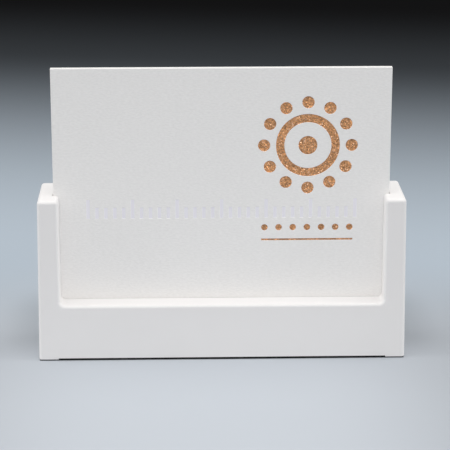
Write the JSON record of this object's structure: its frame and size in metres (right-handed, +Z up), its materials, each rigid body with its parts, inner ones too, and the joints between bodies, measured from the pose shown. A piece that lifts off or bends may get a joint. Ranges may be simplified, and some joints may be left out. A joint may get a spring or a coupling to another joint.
{
  "type": "desk calendar with phone stand",
  "caption": "White moulded desk stand: a pack of calendar cards stands in a slot behind a low front wall between two arms, with a phone trough, backrest and lip at the rear.",
  "frame": {"origin": "on the desk, under the middle of the stand", "axes": "+Z up, -Y the way the calendar's cover faces, +X to the right of someone who reads the cover"},
  "size_m": [0.1814, 0.0398, 0.1445],
  "materials": {
    "white_abs": "fine matt moulded texture",
    "plate_abs": "matt moulded texture",
    "screw_steel": "zinc plated",
    "foot_rubber": "matt",
    "pad_silicone": "matt silicone",
    "cover_stock": "textured uncoated card",
    "month_stock": "smooth uncoated card with printed day numbers",
    "copper_foil": "glittering copper foil, pressed in"
  },
  "bodies": {
    "stand": {"housing": "white_abs", "bottom_plate": "plate_abs", "plate_screws": "screw_steel", "foot_pad_front": "foot_rubber", "foot_pad_rear": "foot_rubber", "phone_rest_pad": "pad_silicone", "phone_back_pad": "pad_silicone"},
    "cover": {"cover_card": "cover_stock", "cover_foil": "copper_foil"},
    "month_01": {"month_card_01": "month_stock"},
    "month_02": {"month_card_02": "month_stock"},
    "month_03": {"month_card_03": "month_stock"},
    "month_04": {"month_card_04": "month_stock"},
    "month_05": {"month_card_05": "month_stock"},
    "month_06": {"month_card_06": "month_stock"},
    "month_07": {"month_card_07": "month_stock"},
    "month_08": {"month_card_08": "month_stock"},
    "month_09": {"month_card_09": "month_stock"},
    "month_10": {"month_card_10": "month_stock"},
    "month_11": {"month_card_11": "month_stock"},
    "month_12": {"month_card_12": "month_stock"}
  },
  "joints": [
    {"name": "cover_lift", "type": "slide", "parent": "stand", "child": "cover", "axis": [0, 0, 1], "range_m": [0, 0.06]},
    {"name": "month_01_lift", "type": "slide", "parent": "stand", "child": "month_01", "axis": [0, 0, 1], "range_m": [0, 0.06]},
    {"name": "month_02_lift", "type": "slide", "parent": "stand", "child": "month_02", "axis": [0, 0, 1], "range_m": [0, 0.06]},
    {"name": "month_03_lift", "type": "slide", "parent": "stand", "child": "month_03", "axis": [0, 0, 1], "range_m": [0, 0.06]},
    {"name": "month_04_lift", "type": "slide", "parent": "stand", "child": "month_04", "axis": [0, 0, 1], "range_m": [0, 0.06]},
    {"name": "month_05_lift", "type": "slide", "parent": "stand", "child": "month_05", "axis": [0, 0, 1], "range_m": [0, 0.06]},
    {"name": "month_06_lift", "type": "slide", "parent": "stand", "child": "month_06", "axis": [0, 0, 1], "range_m": [0, 0.06]},
    {"name": "month_07_lift", "type": "slide", "parent": "stand", "child": "month_07", "axis": [0, 0, 1], "range_m": [0, 0.06]},
    {"name": "month_08_lift", "type": "slide", "parent": "stand", "child": "month_08", "axis": [0, 0, 1], "range_m": [0, 0.06]},
    {"name": "month_09_lift", "type": "slide", "parent": "stand", "child": "month_09", "axis": [0, 0, 1], "range_m": [0, 0.06]},
    {"name": "month_10_lift", "type": "slide", "parent": "stand", "child": "month_10", "axis": [0, 0, 1], "range_m": [0, 0.06]},
    {"name": "month_11_lift", "type": "slide", "parent": "stand", "child": "month_11", "axis": [0, 0, 1], "range_m": [0, 0.06]},
    {"name": "month_12_lift", "type": "slide", "parent": "stand", "child": "month_12", "axis": [0, 0, 1], "range_m": [0, 0.06]}
  ]
}
